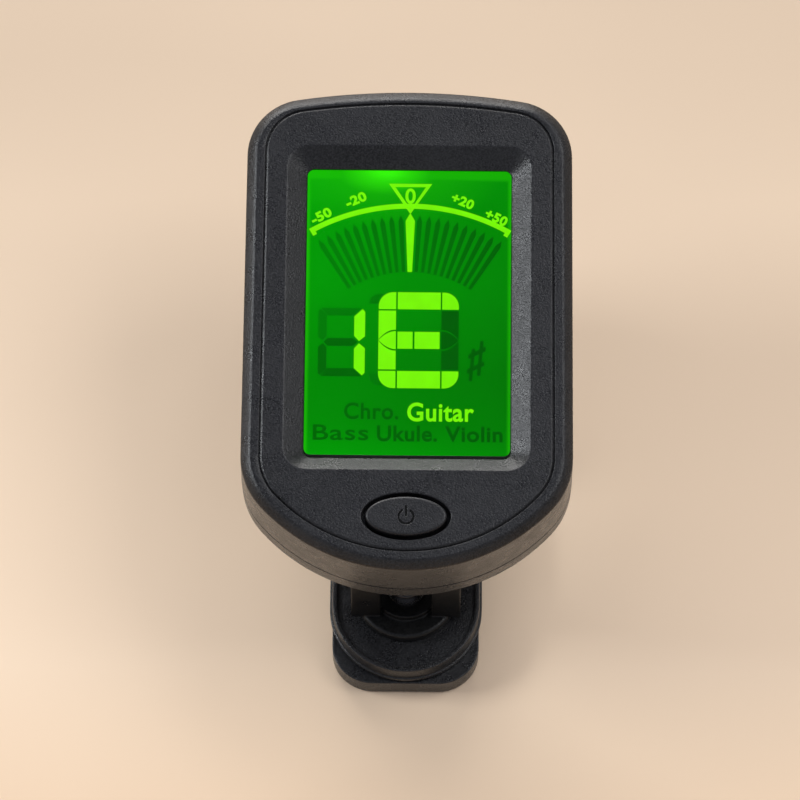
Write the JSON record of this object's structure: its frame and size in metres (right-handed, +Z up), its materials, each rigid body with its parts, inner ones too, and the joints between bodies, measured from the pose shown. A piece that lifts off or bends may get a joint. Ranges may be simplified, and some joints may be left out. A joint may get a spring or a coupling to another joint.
{
  "type": "clip-on instrument tuner",
  "caption": "Clip-on instrument tuner: a display head with one power button on a tilt and swivel joint over a sprung clip with padded jaws.",
  "frame": {"origin": "foot of the swivel axis on the flat surface that the clip lies on", "axes": "+Z up along the swivel axis, -Y towards the jaw tips, +Y towards the finger grips, +X to the right as the display is read"},
  "size_m": [0.0382, 0.0604, 0.0433],
  "materials": {
    "casing": "fine spark-eroded grain, matte black ABS",
    "clip_plastic": "fine grain, matte black ABS",
    "joint_plastic": "satin black acetal",
    "button_plastic": "satin black, sunk power symbol",
    "window": "clear acrylic",
    "display": "lit green liquid crystal cell",
    "light_guide": "frosted light guide, lit green",
    "frame_plastic": "matte black",
    "contact_rubber": "layered conductive rubber",
    "board": "green solder mask on glass epoxy",
    "switch": "switch body",
    "plunger": "pale nylon",
    "epoxy": "black epoxy dome",
    "parts": "small chip parts",
    "led": "green diode",
    "steel": "nickel plated",
    "black_steel": "blackened steel",
    "spring_steel": "drawn spring wire",
    "contact_metal": "plated contact strip",
    "sensor_brass": "brass disc",
    "sensor_white": "fired ceramic",
    "lead_red": "red insulation",
    "lead_black": "black insulation",
    "pad_rubber": "matte black rubber, ribbed"
  },
  "bodies": {
    "lower_jaw": {"lower_jaw": "clip_plastic", "lower_pad": "pad_rubber", "clip_pin": "steel", "clip_spring": "spring_steel"},
    "upper_jaw": {"upper_jaw": "clip_plastic", "upper_pad": "pad_rubber", "swivel_screw": "black_steel", "swivel_washer": "steel"},
    "swivel": {"swivel_base": "joint_plastic", "tilt_bolt": "black_steel", "tilt_nut": "black_steel"},
    "head": {"front_shell": "casing", "rear_shell": "casing", "window_lens": "window", "lcd_glass": "display", "light_guide": "light_guide", "backlight_led": "led", "lcd_frame": "frame_plastic", "contact_strip": "contact_rubber", "circuit_board": "board", "tact_switch": "switch", "chip_dome": "epoxy", "board_components": "parts", "coin_cell": "steel", "negative_contact": "contact_metal", "positive_contact": "contact_metal", "sensor_plate": "sensor_brass", "sensor_ceramic": "sensor_white", "lead_red": "lead_red", "lead_black": "lead_black", "case_screws": "black_steel"},
    "power_button": {"button_cap": "button_plastic", "switch_plunger": "plunger"},
    "battery_door": {"battery_door": "casing"}
  },
  "joints": [
    {"name": "clip_open", "type": "hinge", "parent": "lower_jaw", "child": "upper_jaw", "pos_m": [0, 0.0235, 0.008], "axis": [-1, 0, 0], "range_deg": [0, 26], "stiffness_Nm_per_rad": 0.2, "springref_deg": -2.86, "deforming": ["clip_spring"]},
    {"name": "swivel_turn", "type": "hinge", "parent": "upper_jaw", "child": "swivel", "pos_m": [0, 0, 0.0064], "axis": [0, 0, 1], "continuous": true},
    {"name": "head_tilt", "type": "hinge", "parent": "swivel", "child": "head", "pos_m": [0, 0, 0.0158], "axis": [1, 0, 0], "range_deg": [-10, 80]},
    {"name": "button_press", "type": "slide", "parent": "head", "child": "power_button", "axis": [0, 0.1736, -0.9848], "range_m": [0, 0.0004], "stiffness_N_per_m": 1500, "springref_m": -0.0003},
    {"name": "door_slide", "type": "slide", "parent": "head", "child": "battery_door", "axis": [0, 0.9848, 0.1736], "range_m": [0, 0.034]}
  ]
}
